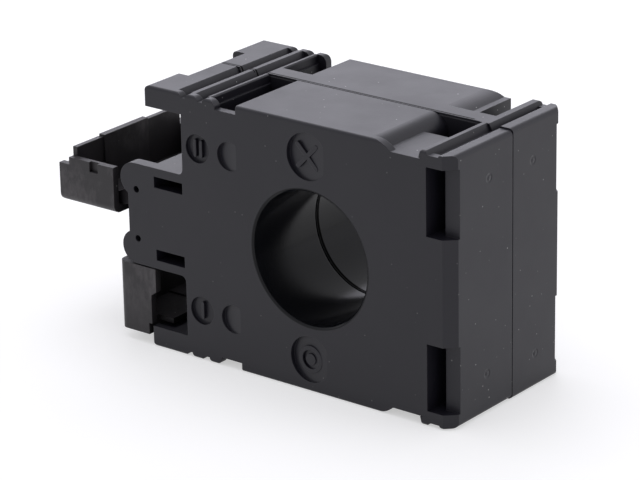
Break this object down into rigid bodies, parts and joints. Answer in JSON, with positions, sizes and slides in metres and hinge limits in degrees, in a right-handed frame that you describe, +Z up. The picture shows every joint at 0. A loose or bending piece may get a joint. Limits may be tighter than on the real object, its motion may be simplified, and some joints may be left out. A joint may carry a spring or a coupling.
{
  "type": "current transformer",
  "caption": "Black moulded feed-through current transformer on its side, one terminal cover open and the other shut.",
  "frame": {"origin": "on the bore axis, halfway through the depth of the case", "axes": "+X from the terminals to the mounting base, +Y along the bore from the marked face to the rear face, +Z up as the part lies on its side flanges"},
  "size_m": [0.0798, 0.03, 0.045],
  "materials": {
    "case_plastic": "fine matt moulded black",
    "cover_plastic": "matt moulded black",
    "core_steel": "wound silicon-steel strip",
    "cup_plastic": "natural moulded insulation",
    "winding_copper": "enamelled wire",
    "tape_film": "polyester tape",
    "plate_brass": "rolled brass",
    "plated_steel": "bright zinc plate",
    "lead_sleeve": "insulated lead"
  },
  "bodies": {
    "case": {"front_shell": "case_plastic", "rear_shell": "case_plastic", "core": "core_steel", "core_cup_front": "cup_plastic", "core_cup_rear": "cup_plastic", "winding": "winding_copper", "winding_tape": "tape_film", "s1_plate": "plate_brass", "s2_plate": "plate_brass", "s1_lead": "lead_sleeve", "s2_lead": "lead_sleeve", "s1_screw_front": "plated_steel", "s1_screw_rear": "plated_steel", "s1_washer_front": "plated_steel", "s1_washer_rear": "plated_steel", "s2_screw_front": "plated_steel", "s2_screw_rear": "plated_steel", "s2_washer_front": "plated_steel", "s2_washer_rear": "plated_steel"},
    "s1_cover": {"s1_cover": "cover_plastic"},
    "s2_cover": {"s2_cover": "cover_plastic"}
  },
  "joints": [
    {"name": "s1_cover_hinge", "type": "hinge", "parent": "case", "child": "s1_cover", "pos_m": [-0.0353, 0, -0.0037], "axis": [0, 1, 0], "range_deg": [0, 64]},
    {"name": "s2_cover_hinge", "type": "hinge", "parent": "case", "child": "s2_cover", "pos_m": [-0.0353, 0, 0.0037], "axis": [0, 1, 0], "range_deg": [0, 90]}
  ]
}
